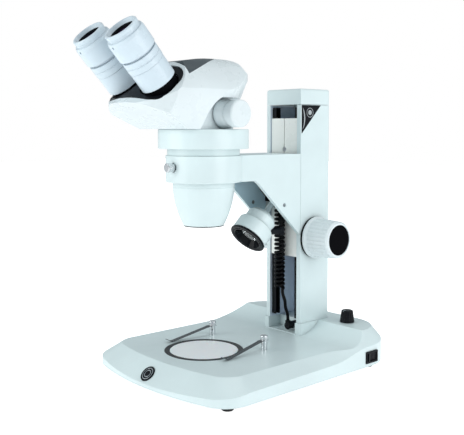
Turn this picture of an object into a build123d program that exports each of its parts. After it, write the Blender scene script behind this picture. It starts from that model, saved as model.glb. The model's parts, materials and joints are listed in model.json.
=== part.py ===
from build123d import *
import os
from math import cos, sin, tan, pi, radians, sqrt, acos

# A stereo zoom microscope on a rack-and-pinion stand. All sizes are in millimetres. The model is drawn
# with the optical axis at X = Y = 0, the user on the -Y side and the table at Z = 0. On export it is
# moved so that its origin is the middle of its footprint.
ORIGIN_Y = 32.05         # the middle of the footprint, behind the optical axis

# ---- base ----
UNDERSIDE_Z = 9.0        # lower edge of the casting, on four rubber feet
STAGE_Z = 35.0           # flat working top
SHOULDER_Z = 50.0        # raised shoulder round the column
BASE_REAR = 215.0
CORNER_R = 45.0          # rear corners of the base's wall
BASE_HALF = 125.0
CASTING_WALL = 5.0
RAMP_START, RAMP_END = 130.0, 167.0
STAGE_R = 47.25          # round stage insert, a standard 94.5 mm plate
GLASS_R = 41.0
FOOT_R = 7.0
DIMMER_AT = (65.0, 186.5)
SWITCH_Y, SWITCH_Z = 166.2, 20.6
SWITCH_LONG, SWITCH_HIGH = 22.0, 14.5
SWITCH_ROOT = 119.4
ROCKER_X, ROCKER_TILT = 117.3, 8.0
CLIP_AT = (48.0, 54.0)
POST_H = 17.6

# ---- column ----
COL_HALF = 30.9
COL_FRONT, COL_BACK = 134.3, 190.3
COL_SEAM, COL_TOP = 330.5, 350.5
COL_WALL = 6.9
FOOT_TOP = 50.0

# ---- focus drive ----
PINION_Y, PINION_Z = 160.0, 159.5
TEETH = 18
MODULE = 1.0
PITCH_R = MODULE * TEETH / 2
SHAFT_R = 4.0
KNOB_END = 73.5
SLIDE_BOTTOM, SLIDE_TOP = 134.8, 313.0
SLIDE_FRONT = 136.0

# ---- arm ----
RING_R = 45.0
MOUNT_R = 38.0           # the 76 mm standard for stereo heads
ARM_LOW, ARM_TOP = 236.5, 268.0
ARM_WALL = 4.9
ARM_REAR = 133.9

# ---- head ----
NECK_R, NECK_TOP = 43.1, 276.0
COLLAR_R, COLLAR_TOP = 53.7, 299.0
CUP_LOW = 184.5
TUBE_TILT = 48.0
TUBE_X = 32.0            # half the distance between the eyes
TUBE_R = 20.5
TUBE_ROOT = 5.4          # where the wide part of each tube starts, clear of the bowed panel
FACE_AT = (-85.7, 346.6) # where the plane between the tubes' roots crosses X = 0
LIP_OUT = 6.0
PANEL_DEPTH = 1.0        # how far the black panel lies below the lip
LIP_BEND = 160.0
OCULAR_PIVOT_X = 24.0
ZOOM_Z = 316.5
ZOOM_END = 67.0

# ---- lamp ----
LAMP_TILT = 43.6
LAMP_FRONT = (71.0, 163.0)
LAMP_R = 23.6
LAMP_PIVOT = (118.8, 208.5)
SIDE_SCREWS = [(11.4, 254.9, 1.95), (105.0, 204.3, 2.5)]

# ---- cords ----
COIL_Y = 127.8
COIL_R = 7.3
COIL_LOW, COIL_HIGH = 90.0, 198.0
CORD_R = 2.1
BOOT_X = 12.2
LEAD_TOP = 222.0

RUN = 0.05               # running clearance of a shaft in its hole

OUT = "parts"


def cyl(radius, length, at, axis=(0, 0, 1)):
    """A cylinder that starts at a point and runs along an axis."""
    return Plane(origin=at, z_dir=axis) * Cylinder(
        radius, length, align=(Align.CENTER, Align.CENTER, Align.MIN))


def cone(r0, r1, length, at, axis=(0, 0, 1)):
    return Plane(origin=at, z_dir=axis) * Cone(
        r0, r1, length, align=(Align.CENTER, Align.CENTER, Align.MIN))


def block(x0, x1, y0, y1, z0, z1):
    """A box between two corners."""
    return Pos((x0 + x1) / 2, (y0 + y1) / 2, (z0 + z1) / 2) * Box(x1 - x0, y1 - y0, z1 - z0)


def turned(profile, at=(0, 0, 0), axis=(0, 0, 1)):
    """A solid of revolution. The profile lists (radius, height along the axis)."""
    face = make_face(Polyline(*[(r, h) for r, h in profile], close=True))
    body = revolve(Plane.XZ * face, Axis.Z, 360)
    return Plane(origin=at, z_dir=axis) * body


def side_plate(points, x0, x1):
    """A plate whose outline is given in (Y, Z), between two X planes."""
    face = Plane.YZ * make_face(Polyline(*points, close=True))
    return Pos(x0, 0, 0) * extrude(face, x1 - x0, dir=(1, 0, 0))


def tube_axis():
    t = radians(TUBE_TILT)
    return (0.0, -cos(t), sin(t))


def tube_point(x, along, up=0.0):
    """A point in the frame of the inclined tubes: sideways, along the tubes, and across them."""
    t = radians(TUBE_TILT)
    y, z = FACE_AT
    return (x, y - cos(t) * along + sin(t) * up, z + sin(t) * along + cos(t) * up)


def tube_plane(x, along, up=0.0):
    """The plane across a tube, with its X sideways and its Z along the tube."""
    return Plane(origin=tube_point(x, along, up), x_dir=(1, 0, 0), z_dir=tube_axis())


# ------------------------------------------------------------------ base

def outline(half, half_rear, mid, side, rear, r_front, r_rear):
    """A plan outline with a bowed front edge and rounded corners."""
    a, b = (-half, side), (half, side)
    c, d = (half_rear, rear), (-half_rear, rear)
    edges = [ThreePointArc(a, (0, mid), b), Line(b, c), Line(c, d), Line(d, a)]
    face = make_face(edges)
    corners = face.vertices().sort_by(Axis.Y)
    face = fillet(corners[:2], r_front)
    return fillet(face.vertices().sort_by(Axis.Y)[-2:], r_rear)


def flared(half, half_rear, mid, side, rear, r_front, r_rear):
    """Like the plan outline, but its sides swing outward near the rear in a shallow S."""
    a, b = (-half, side), (half, side)
    c, d = (half_rear, rear), (-half_rear, rear)
    y0, y2 = FLARE
    y1 = (y0 + y2) / 2
    x1 = (half + half_rear) / 2
    edges = [ThreePointArc(a, (0, mid), b), Line(c, d)]
    for s in (-1, 1):
        edges += [Line((s * half, side), (s * half, y0)),
                  TangentArc((s * half, y0), (s * x1, y1), tangent=(0, 1)),
                  TangentArc((s * half_rear, y2), (s * x1, y1), tangent=(0, -1)),
                  Line((s * half_rear, y2), (s * half_rear, rear))]
    face = make_face(edges)
    face = fillet(face.vertices().sort_by(Axis.Y)[:2], r_front)
    return fillet(face.vertices().sort_by(Axis.Y)[-2:], r_rear)


FLARE = (88.0, 160.0)


def ramp_cut(drop):
    """Everything above the working top, in front of the shoulder."""
    low, high = STAGE_Z - drop, SHOULDER_Z - drop
    radius = ((RAMP_END - RAMP_START) ** 2 + (high - low) ** 2) / (2 * (high - low))
    mid_y = (RAMP_START + RAMP_END) / 2
    mid_z = low + radius - sqrt(radius ** 2 - (mid_y - RAMP_START) ** 2)
    edges = [Line((-200, low), (RAMP_START, low)),
             ThreePointArc((RAMP_START, low), (mid_y, mid_z), (RAMP_END, high)),
             Line((RAMP_END, high), (RAMP_END, 90)),
             Line((RAMP_END, 90), (-200, 90)),
             Line((-200, 90), (-200, low))]
    face = Plane.YZ * make_face(edges)
    return Pos(-200, 0, 0) * extrude(face, 400, dir=(1, 0, 0))


def base_form(inset):
    """The bevelled form of the casting, or the hollow that lies a wall's thickness inside it."""
    wall = extrude(outline(BASE_HALF - inset, BASE_HALF - 5 - inset, -91 + inset, -70 + inset,
                           BASE_REAR - inset, 34 - inset, CORNER_R - inset), SHOULDER_Z)
    low = flared(144.5 - inset, 144.0 - inset, -96.4 + inset, -81 + inset, 226 - inset,
                 45 - inset, 45 - inset)
    high = flared(83 - inset, 106 - inset, -52.4 + inset, -38 + inset, 213 - inset,
                  17 - inset, 44 - inset)
    bevel = loft([Pos(0, 0, UNDERSIDE_Z) * low, Pos(0, 0, SHOULDER_Z) * high], ruled=True)
    top = inset * 0.9
    form = wall & bevel & block(-200, 200, -200, 300, UNDERSIDE_Z, SHOULDER_Z - top)
    return form - ramp_cut(top)


def base_housing():
    body = base_form(0)
    rim = body.edges().filter_by_position(Axis.Z, STAGE_Z - 0.1, STAGE_Z + 0.1)
    front_rim = [e for e in rim if e.center().Y < RAMP_START - 5]
    body = fillet(front_rim, 2.0)
    body = body - (base_form(CASTING_WALL) - block(-200, 200, -200, 300, 0, UNDERSIDE_Z - 1))
    # a plinth round the column's foot, open towards the front
    plinth = block(-33.2, 33.2, 131.8, COL_BACK + 2.2, 28, FOOT_TOP)
    plinth = fillet(plinth.edges().filter_by(Axis.Z), 3.0)
    body = body + plinth
    body = body - block(-24, 24, 120, COL_BACK - COL_WALL, 36, 80)
    body = body + block(-24.2, 24.2, 153, COL_BACK - COL_WALL + 0.5, 28, FOOT_TOP)
    body = body - cyl(2.8, 9.5, (PLUG_X, 152.5, PLUG_Z), (0, 1, 0))
    # stage opening with a seat for the insert
    body = body - cyl(STAGE_R + 0.15, 30, (0, 0, STAGE_Z - 4.0)) - cyl(GLASS_R + 2.0, 40, (0, 0, 5))
    # bosses that take the cover's screws and the column's bolts
    for x, y in COVER_SCREWS:
        body = body + (cyl(5.0, 39, (x, y, UNDERSIDE_Z + 2.0)) & base_form(1.0))
        body = body - cyl(1.6, 12, (x, y, UNDERSIDE_Z + 1.0))
    for side in (-1, 1):
        x, y = side * DIMMER_AT[0], DIMMER_AT[1]
        body = body - cyl(3.6, 60, (x, y, 20))
        post_x = side * CLIP_AT[0]
        body = body - cyl(2.0, 30, (post_x, CLIP_AT[1], STAGE_Z - 8))
        body = body - cyl(1.7, 40, (side * 27.4, 160, 10))
    body = body - block(110, 140, SWITCH_Y - 10.2, SWITCH_Y + 10.2, SWITCH_Z - 6.2, SWITCH_Z + 6.2)
    body = body - cyl(4.6, 20, (-40, BASE_REAR - 12, 22), (0, 1, 0))
    body = body - badge_seat(BADGE_R + 0.1)[2]
    hy, hz = SWITCH_LONG / 2, SWITCH_HIGH / 2
    seat = block(SWITCH_ROOT, 130, SWITCH_Y - hy, SWITCH_Y + hy, SWITCH_Z - hz, SWITCH_Z + hz)
    return body - seat


COVER_SCREWS = [(-104, -30), (104, -30), (-104, 90), (104, 90), (-88, 155), (88, 150)]
FEET = [(-100, -50), (100, -50), (-98, 187), (98, 187)]


def base_bottom_plate():
    plate = extrude(outline(BASE_HALF - 5.6, BASE_HALF - 10.6, -85.4, -64.4, BASE_REAR - 5.6, 28.4,
                            CORNER_R - 5.6), 1.6)
    plate = Pos(0, 0, UNDERSIDE_Z) * plate
    for x, y in COVER_SCREWS:
        plate = plate - cyl(2.0, 10, (x, y, 5))
    for k in range(7):
        plate = plate - (Pos(-24 + 8 * k, 40, UNDERSIDE_Z) * Box(3, 26, 8))
    return plate


def base_screws():
    """Pan-head screws of the bottom plate and the two long bolts of the column."""
    made = []
    for x, y in COVER_SCREWS:
        head = fillet(cyl(3.2, 2.0, (x, y, UNDERSIDE_Z - 2.0)).edges().sort_by(Axis.Z)[:1], 0.7)
        head = head - (Pos(x, y, UNDERSIDE_Z - 2.0) * Box(4, 0.8, 1.4))
        made.append(head + cyl(1.5, 10, (x, y, UNDERSIDE_Z)))
    for side in (-1, 1):
        made.append(cyl(3.2, 4, (side * 27.4, 160, 24.0)) + cyl(1.6, 34, (side * 27.4, 160, 28)))
    return Compound(made)


def rubber_feet():
    foot = turned([(0, 0), (FOOT_R - 1, 0), (FOOT_R, 1), (FOOT_R - 0.4, UNDERSIDE_Z), (0, UNDERSIDE_Z)])
    return Compound([Pos(x, y, 0) * foot for x, y in FEET])


def stage_ring():
    return turned([(GLASS_R + 0.1, STAGE_Z - 3.9), (STAGE_R, STAGE_Z - 3.9), (STAGE_R, STAGE_Z - 0.2),
                   (STAGE_R - 0.5, STAGE_Z + 0.3), (GLASS_R + 0.6, STAGE_Z + 0.3),
                   (GLASS_R + 0.1, STAGE_Z - 0.1)]) + turned(
        [(GLASS_R - 2, STAGE_Z - 5.4), (GLASS_R + 1.9, STAGE_Z - 5.4), (GLASS_R + 1.9, STAGE_Z - 3.9),
         (GLASS_R - 2, STAGE_Z - 3.9)])


def stage_plate():
    return turned([(0, STAGE_Z - 3.9), (GLASS_R, STAGE_Z - 3.9), (GLASS_R, STAGE_Z - 0.4),
                   (GLASS_R - 0.4, STAGE_Z), (0, STAGE_Z)])


def circuit_boards():
    """The LED board below the stage, the power board behind it, and the two dimmers' potentiometers."""
    led = cyl(34, 1.6, (0, 0, 16))
    for k in range(12):
        a = 2 * pi * k / 12
        led = led + cyl(2.4, 1.6, (24 * cos(a), 24 * sin(a), 17.5))
    for r in (0, 11):
        for k in range(1 if r == 0 else 6):
            a = 2 * pi * k / 6
            led = led + cyl(2.4, 1.6, (r * cos(a), r * sin(a), 17.5))
    power = block(-50, 20, 86, 124, 16, 17.6)
    power = power + cyl(5, 10, (-38, 98, 17.5)) + cyl(4, 8, (-24, 98, 17.5))
    power = power + block(-8, 12, 96, 104, 17.5, 27) + block(-44, -30, 112, 120, 17.5, 23)
    legs = [cyl(2.5, 5.4, (x, y, UNDERSIDE_Z + 1.6)) for x, y in ((-28, 0), (28, 0), (0, -28))]
    legs += [cyl(2.5, 5.4, (x, y, UNDERSIDE_Z + 1.6)) for x, y in ((-46, 90), (16, 90), (-16, 120))]
    made = [led + legs[0] + legs[1] + legs[2], power + legs[3] + legs[4] + legs[5]]
    for side in (-1, 1):
        x, y = side * DIMMER_AT[0], DIMMER_AT[1]
        made.append(cyl(6.2, 11, (x, y, 26)) + cyl(3.4, 13.5, (x, y, 37)) + cyl(2.9, 22, (x, y, 37)))
    return Compound(made)


def dc_inlet():
    """The barrel socket for the power supply, in the rear wall."""
    y = BASE_REAR - 7
    body = cyl(4.5, 9.4, (-40, y - 2, 22), (0, 1, 0)) + cyl(6.0, 3.0, (-40, y - 5, 22), (0, 1, 0))
    body = body - cyl(2.9, 9.0, (-40, y - 1.0, 22), (0, 1, 0))
    return body + cyl(1.0, 7.5, (-40, y - 2.2, 22), (0, 1, 0))


BADGE_R = 9.4


def badge_seat(radius):
    """The disc that the badge fills, let into the sloped front face."""
    slope = radians(43.0)
    at = (0, -82.2, 22.3)
    out = (0, -sin(slope), cos(slope))
    return at, out, cyl(radius, 3.0, tuple(a - 2.2 * o for a, o in zip(at, out)), out)


def front_badge():
    """A plain round badge with rings, let into the sloped front face."""
    at, out, disc = badge_seat(BADGE_R)
    for r in (7.4, 4.6):
        top = tuple(a + 0.8 * o for a, o in zip(at, out))
        disc = disc - (cyl(r, 0.4, tuple(a - 0.4 * o for a, o in zip(top, out)), out)
                       - cyl(r - 0.8, 0.4, tuple(a - 0.4 * o for a, o in zip(top, out)), out))
    return disc


def switch_frame():
    hy, hz = SWITCH_LONG / 2, SWITCH_HIGH / 2
    y, z = SWITCH_Y, SWITCH_Z
    rim = block(SWITCH_ROOT, 122.3, y - hy, y + hy, z - hz, z + hz)
    rim = fillet(rim.edges().filter_by(Axis.X), 1.2)
    body = block(104.0, 119.5, y - 10, y + 10, z - 6, z + 6)
    hollow = block(108.0, 130, y - 8.9, y + 8.9, z - 4.9, z + 4.9)
    return rim + body - hollow


def switch_rocker():
    """The rocker of the lamp switch, resting with its rear half pressed in."""
    half, height = 8.0, 5.0
    edge = [(-half, height), (0, 3.3), (half, height), (7.0, -3.0), (-7.0, -3.0)]
    face = make_face(Polyline(*[(x, y) for y, x in edge], close=True))
    body = extrude(face, 9.0)
    body = Pos(ROCKER_X, SWITCH_Y, SWITCH_Z - 4.5) * Rot(0, 0, ROCKER_TILT) * body
    return body + cyl(1.0, 9.7, (ROCKER_X, SWITCH_Y, SWITCH_Z - 4.85))


def dimmer_knob(side):
    """A tapered fluted knob on its pot's shaft."""
    x, y = side * DIMMER_AT[0], DIMMER_AT[1]
    low = SHOULDER_Z + 0.7
    knob = cone(9.4, 7.4, 15.0, (x, y, low))
    knob = fillet(knob.edges().sort_by(Axis.Z)[-1:], 1.5)
    for k in range(18):
        a = 2 * pi * k / 18
        knob = knob - cyl(0.7, 12, (x + 9.5 * cos(a), y + 9.5 * sin(a), low + 1.2),
                          (-0.16 * cos(a), -0.16 * sin(a), 1))
    knob = knob - cyl(2.9 + RUN, 9.5, (x, y, low - 1))
    return knob - block(x - 0.5, x + 0.5, y - 7.2, y - 3.4, low + 14.4, low + 16)


def stage_clip(side):
    """A chrome post that turns in the stage, with a spring blade that presses on a slide."""
    x, y = side * CLIP_AT[0], CLIP_AT[1]
    post = cyl(2.0 - RUN, 7.8, (x, y, STAGE_Z - 7.5)) + cyl(3.6, POST_H - 5, (x, y, STAGE_Z + 0.1))
    cap = cyl(4.6, 5.0, (x, y, STAGE_Z + POST_H - 5))
    cap = fillet(cap.edges().sort_by(Axis.Z)[-1:], 1.2)
    for k in range(16):
        a = 2 * pi * k / 16
        cap = cap - cyl(0.45, 3.4, (x + 4.6 * cos(a), y + 4.6 * sin(a), STAGE_Z + POST_H - 5))
    top = STAGE_Z + POST_H - 6.6
    rise = STAGE_Z + 0.8
    spine = [(y + 4.5, top), (y - 6, top), (y - 60, rise + 0.2), (y - 64, rise), (y - 70, rise + 3.2)]
    upper = [(a, b + 0.8) for a, b in reversed(spine)]
    blade = side_plate(spine + upper, x - 3.6, x + 3.6)
    taper = block(x - 3.0, x + 3.0, y - 71, y - 8, 0, 90) + block(x - 3.7, x + 3.7, y - 9, y + 5, 0, 90)
    blade = Pos(x, y, 0) * Rot(0, 0, side * 4.0) * Pos(-x, -y, 0) * (blade & taper)
    return post + cap + blade


# ------------------------------------------------------------------ column

def column_shell():
    body = block(-COL_HALF, COL_HALF, COL_FRONT, COL_BACK, FOOT_TOP, COL_SEAM - 0.4)
    body = fillet(body.edges().filter_by(Axis.Z).sort_by(Axis.Y)[-2:], 5.0)
    body = fillet(body.edges().filter_by(Axis.Z).sort_by(Axis.Y)[:2], 1.0)
    inner = COL_HALF - COL_WALL
    body = body - block(-inner, inner, 100, COL_BACK - 5.3, 0, 400)
    body = body - cyl(8.0, 100, (-50, PINION_Y, PINION_Z), (1, 0, 0))
    for side in (-1, 1):
        body = body - cyl(1.7, 40, (side * 27.4, 160, FOOT_TOP - 1))
    return body


def column_cap():
    body = block(-COL_HALF, COL_HALF, COL_FRONT, COL_BACK, COL_SEAM, COL_TOP)
    body = fillet(body.edges().filter_by(Axis.Z).sort_by(Axis.Y)[-2:], 5.0)
    body = fillet(body.edges().filter_by(Axis.Z).sort_by(Axis.Y)[:2], 1.0)
    body = fillet(body.faces().sort_by(Axis.Z)[-1].edges(), 3.0)
    inner = COL_HALF - COL_WALL
    body = body - block(-inner, inner, COL_FRONT + 4, COL_BACK - 5.3, COL_SEAM - 1, COL_TOP - 4)
    spigot = block(-inner, inner, COL_BACK - 12, COL_BACK - 5.3, COL_SEAM - 4, COL_SEAM + 2)
    body = body + spigot
    seam = block(-inner - 3, inner + 3, COL_BACK - 5.3, COL_BACK - 3, COL_SEAM - 0.4, COL_SEAM)
    return body + seam


def column_badge():
    """A dark three-cornered label on the column's right side, with a ring on it."""
    z = COL_SEAM - 0.9
    y = COL_FRONT + 1.4
    label = Pos(COL_HALF, 0, 0) * extrude(
        Plane.YZ * make_face(Polyline((y, z), (y + 35, z), (y, z - 36), close=True)), 0.5, dir=(1, 0, 0))
    x = COL_HALF + 0.4
    centre = (x, y + 14.6, z - 9.4)
    ring = cyl(6.1, 0.4, centre, (1, 0, 0)) - cyl(5.5, 2, centre, (1, 0, 0))
    outer, inner = (y + 5.6, z - 16.0), (y + 3.8, z - 16.0)
    crescent = make_face([ThreePointArc((y + 1.2, z - 3.0), outer, (y + 1.2, z - 31.0)),
                          ThreePointArc((y + 1.2, z - 3.0), inner, (y + 1.2, z - 31.0))])
    crescent = Pos(x, 0, 0) * extrude(Plane.YZ * crescent, 0.4, dir=(1, 0, 0))
    return label + ring + cyl(3.2, 0.4, centre, (1, 0, 0)) + crescent


def guide_rails():
    """Two dark rails with a groove, on the channel's side walls."""
    made = []
    inner = COL_HALF - COL_WALL
    for side in (-1, 1):
        x0, x1 = sorted((side * inner, side * 17.0))
        g0, g1 = sorted((side * 16.0, side * 21.0))
        rail = block(x0, x1, 138.0, 146.0, 54, 327) - block(g0, g1, 139.3, 143.9, 50, 330)
        made.append(rail)
    return Compound(made)


def pinion_bushes():
    made = []
    for side in (-1, 1):
        inner = COL_HALF - COL_WALL
        x0 = side * (inner - 2.0)
        bush = cyl(8.0, COL_WALL + 2.0, (x0, PINION_Y, PINION_Z), (side, 0, 0))
        bush = bush + cyl(9.5, 2.0, (x0, PINION_Y, PINION_Z), (side, 0, 0))
        made.append(bush - cyl(SHAFT_R + RUN, 30, (side * 20, PINION_Y, PINION_Z), (side, 0, 0)))
    return Compound(made)


# ------------------------------------------------------------------ focus drive

def involute(base_r, r):
    """The polar angle that an involute from a base circle has reached at a radius."""
    if r <= base_r:
        return 0.0
    t = sqrt((r / base_r) ** 2 - 1)
    return t - acos(base_r / r)


def pinion_outline():
    base_r = PITCH_R * cos(radians(20))
    tip, root = PITCH_R + MODULE, PITCH_R - 1.25 * MODULE
    half_at_pitch = pi / (2 * TEETH) - 0.16 / PITCH_R
    points = []
    for k in range(TEETH):
        # the first tooth points at the rack, along -Y
        mid = pi + 2 * pi * k / TEETH
        radii = [root, base_r, base_r + 0.4, PITCH_R, PITCH_R + 0.5, tip]
        flank = [(r, half_at_pitch + involute(base_r, PITCH_R) - involute(base_r, r)) for r in radii]
        points += [(r * cos(mid - w), r * sin(mid - w)) for r, w in flank]
        points += [(r * cos(mid + w), r * sin(mid + w)) for r, w in reversed(flank)]
    return make_face(Polyline(*points, close=True))


def pinion_shaft():
    plane = Plane(origin=(-7.5, PINION_Y, PINION_Z), x_dir=(0, 1, 0), z_dir=(1, 0, 0))
    gear = plane * extrude(pinion_outline(), 15)
    return gear + cyl(SHAFT_R, 2 * (KNOB_END - 8), (-(KNOB_END - 8), PINION_Y, PINION_Z), (1, 0, 0))


def focus_knobs():
    """Two tapered fluted knobs with a rim at the root and a recess for the end disc."""
    root = COL_HALF + 4.2
    profile = [(0, root), (27, root), (27, root + 2.4), (25.4, root + 4.4), (25.0, root + 6),
               (23.6, KNOB_END - 2.5), (21.6, KNOB_END), (19.3, KNOB_END), (19.3, KNOB_END - 2.0),
               (0, KNOB_END - 2.0)]
    made = []
    for side in (-1, 1):
        knob = turned(profile, (0, PINION_Y, PINION_Z), (side, 0, 0))
        for k in range(30):
            a = 2 * pi * k / 30
            lean = 1.7 / (KNOB_END - root - 8)
            start = (side * (root + 6.5), PINION_Y + 25.6 * cos(a), PINION_Z + 25.6 * sin(a))
            knob = knob - cyl(1.0, KNOB_END - root - 10.5, start,
                              (side, -lean * cos(a), -lean * sin(a)))
        made.append(knob - cyl(SHAFT_R, KNOB_END - 8, (0, PINION_Y, PINION_Z), (side, 0, 0)))
    return Compound(made)


def focus_knob_caps():
    made = []
    for side in (-1, 1):
        disc = turned([(0, KNOB_END - 2.0), (19.1, KNOB_END - 2.0), (19.1, KNOB_END - 0.7),
                       (18.3, KNOB_END - 0.2), (0, KNOB_END - 0.2)], (0, PINION_Y, PINION_Z), (side, 0, 0))
        made.append(disc)
    return Compound(made)


def tension_collar():
    """The slim friction ring between the column and the right-hand knob."""
    ring = turned([(SHAFT_R + RUN, COL_HALF + 0.5), (26.4, COL_HALF + 0.5), (26.4, COL_HALF + 3.2),
                   (25.6, COL_HALF + 3.8), (SHAFT_R + RUN, COL_HALF + 3.8)],
                  (0, PINION_Y, PINION_Z), (1, 0, 0))
    for k in range(4):
        a = pi / 4 + pi * k / 2
        at = (COL_HALF + 2.2, PINION_Y + 24.6 * cos(a), PINION_Z + 24.6 * sin(a))
        ring = ring - cyl(1.2, 3, at, (0, cos(a), sin(a)))
    return ring


# ------------------------------------------------------------------ carriage

def slide_bar():
    body = block(-16.5, 16.5, SLIDE_FRONT, 146, SLIDE_BOTTOM, SLIDE_TOP)
    face = block(-23.4, 23.4, SLIDE_FRONT, 137.6, SLIDE_BOTTOM, SLIDE_TOP)
    body = body + face + block(-20.5, 20.5, 139.7, 143.5, SLIDE_BOTTOM, SLIDE_TOP)
    body = body - block(-0.7, 0.7, 130, SLIDE_FRONT + 0.8, SLIDE_BOTTOM - 1, SLIDE_TOP + 1)
    for z in ARM_BOLTS:
        for x in (-9.5, 9.5):
            body = body - cyl(2.0, 8, (x, SLIDE_FRONT - 1, z), (0, 1, 0))
    for z in SLIDE_SCREWS:
        body = body - cyl(3.4, 6.3, (0, SLIDE_FRONT - 1, z), (0, 1, 0))
        body = body - cyl(1.6, 20, (0, 130, z), (0, 1, 0))
    return body


SLIDE_SCREWS = [148.0, 192.0, 273.0]
ARM_BOLTS = [216.0, 256.0]
RACK_LOW, RACK_HIGH = 138.0, 222.0


def rack():
    """A straight rack of the pinion's module on the back of the slide."""
    pitch = pi * MODULE
    root_y = PINION_Y - PITCH_R - 1.25 * MODULE
    tip_y = PINION_Y - PITCH_R + MODULE
    pitch_y = PINION_Y - PITCH_R
    bar = block(-6.5, 6.5, 146, root_y, RACK_LOW, RACK_HIGH)
    slant = tan(radians(20))
    half = pitch / 4 - 0.16
    count_low = int((PINION_Z - RACK_LOW) / pitch)
    count_high = int((RACK_HIGH - PINION_Z) / pitch)
    teeth = []
    for k in range(-count_low, count_high):
        # a gap of the rack lies level with the pinion's axis, where a tooth of the pinion stands
        z = PINION_Z + (k + 0.5) * pitch
        w_root = half + (pitch_y - root_y) * slant
        w_tip = half - (tip_y - pitch_y) * slant
        teeth.append(side_plate([(root_y - 0.4, z - w_root), (root_y, z - w_root), (tip_y, z - w_tip),
                                 (tip_y, z + w_tip), (root_y, z + w_root), (root_y - 0.4, z + w_root)],
                                -6.5, 6.5))
    for tooth in teeth:
        bar = bar + tooth
    return bar


def cap_screw(z, length):
    """A socket-head screw sunk in the front groove of the slide."""
    y = SLIDE_FRONT + 1.0
    screw = cyl(3.0, 3.6, (0, y, z), (0, 1, 0)) + cyl(1.55, length, (0, y, z), (0, 1, 0))
    hexagon = Plane(origin=(0, y, z), z_dir=(0, 1, 0)) * extrude(RegularPolygon(1.6, 6), 1.8)
    return screw - hexagon


def carriage_screws():
    made = [cap_screw(z, 8.5) for z in SLIDE_SCREWS]
    for z in ARM_BOLTS:
        for x in (-9.5, 9.5):
            bolt = cyl(3.6, 3.8, (x, 126.1, z), (0, 1, 0)) + cyl(2.0, 16, (x, 126.1, z), (0, 1, 0))
            made.append(bolt - cyl(1.6, 2, (x, 126.0, z), (0, 1, 0)))
    for y, z, r in SIDE_SCREWS:
        for side in (-1, 1):
            screw = cyl(r, 3.4, (side * (COL_HALF - 4.6), y, z), (side, 0, 0))
            made.append(screw - cyl(0.5 * r, 1.2, (side * (COL_HALF - 2.0), y, z), (side, 0, 0)))
    made.append(cyl(2.5, 2 * FORK_HALF, (-FORK_HALF, *LAMP_PIVOT), (1, 0, 0)))
    return Compound(made)


def arm_casting():
    """A ring for the head and two side plates that drop diagonally to the column."""
    reach = 36.0
    outline_yz = [(reach, ARM_LOW), (56, ARM_LOW), (63, 231.4), (126, 171.4), (ARM_REAR, 163.9),
                  (ARM_REAR, ARM_TOP), (reach, ARM_TOP)]
    inner = COL_HALF - ARM_WALL
    solid = side_plate(outline_yz, -COL_HALF, COL_HALF)
    corners = [e for e in solid.edges().filter_by(Axis.X) if 50 < e.center().Y < 70]
    solid = fillet(corners, 6.0)
    solid = solid - block(-inner, inner, 30, 128, 0, ARM_TOP - 5)
    solid = solid - block(-inner, inner, 100, 140, 0, 206)
    neck = block(-COL_HALF, COL_HALF, 10, reach + 14, ARM_LOW, ARM_TOP)
    body = solid + neck + cyl(RING_R, ARM_TOP - ARM_LOW, (0, 0, ARM_LOW))
    body = body - cyl(MOUNT_R + RUN, 80, (0, 0, 220))
    body = body + block(-13.5, 13.5, ARM_REAR - 1, SLIDE_FRONT, 210, 262)
    # counterbore and thread of the clamp screw, in front
    body = body - cyl(5.6, 8, (0, -RING_R - 5, CLAMP_Z), (0, 1, 0))
    body = body - cyl(2.5, 20, (0, -50, CLAMP_Z), (0, 1, 0))
    for y, z, r in SIDE_SCREWS:
        for side in (-1, 1):
            body = body - cyl(r + 0.02, 8, (side * (inner - 0.1), y, z), (side, 0, 0))
    for z in ARM_BOLTS:
        for x in (-9.5, 9.5):
            body = body - cyl(2.0, 20, (x, 122, z), (0, 1, 0)) - cyl(3.7, 4, (x, 126, z), (0, 1, 0))
    low_rim = body.edges().filter_by_position(Axis.Z, ARM_LOW - 0.1, ARM_LOW + 0.1)
    ring_edges = [e for e in low_rim if e.geom_type == GeomType.CIRCLE and e.radius > RING_R - 1]
    return fillet(ring_edges, 1.5)


CLAMP_Z = 254.8


def arm_liner():
    """The dark lining of the arm: a cover, a rear sheet with the lamp's fork, and two side sheets."""
    half = COL_HALF - ARM_WALL - 0.2
    cover = block(-half, half, 60, LINER_REAR, 255.0, 256.4)
    rear = block(-half, half, LINER_REAR - 1.4, LINER_REAR, 204.5, 256.4)
    # below the arm's web it steps back to the slide, in the width of the column's channel
    rear = rear + block(-23.2, 23.2, LINER_REAR - 1.4, 135.7, 204.5, 205.9)
    rear = rear + block(-23.2, 23.2, 134.4, 135.7, COIL_HIGH + 0.6, 205.9)
    edge = [(60, 240.0), (97, 234.5), (103, 232.0), (112.5, 227.1), (118, 218.9), (LINER_REAR, 209.6),
            (LINER_REAR, 256.4), (60, 256.4)]
    body = cover + rear + side_plate(edge, half - 1.4, half) + side_plate(edge, -half, 1.4 - half)
    y, z = LAMP_PIVOT
    for side in (-1, 1):
        x0, x1 = sorted((side * 4.2, side * FORK_HALF))
        cheek = cyl(5.0, FORK_HALF - 4.2, (x0, y, z), (1, 0, 0)) + block(x0, x1, y, LINER_REAR, z - 5, z + 5)
        body = body + cheek
    for bolt_z in ARM_BOLTS:
        for x in (-9.5, 9.5):
            body = body - cyl(4.1, 10, (x, 121, bolt_z), (0, 1, 0))
    return body - cyl(2.5, 2 * FORK_HALF, (-FORK_HALF, y, z), (1, 0, 0))


LINER_REAR = 127.9
FORK_HALF = 7.2


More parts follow.
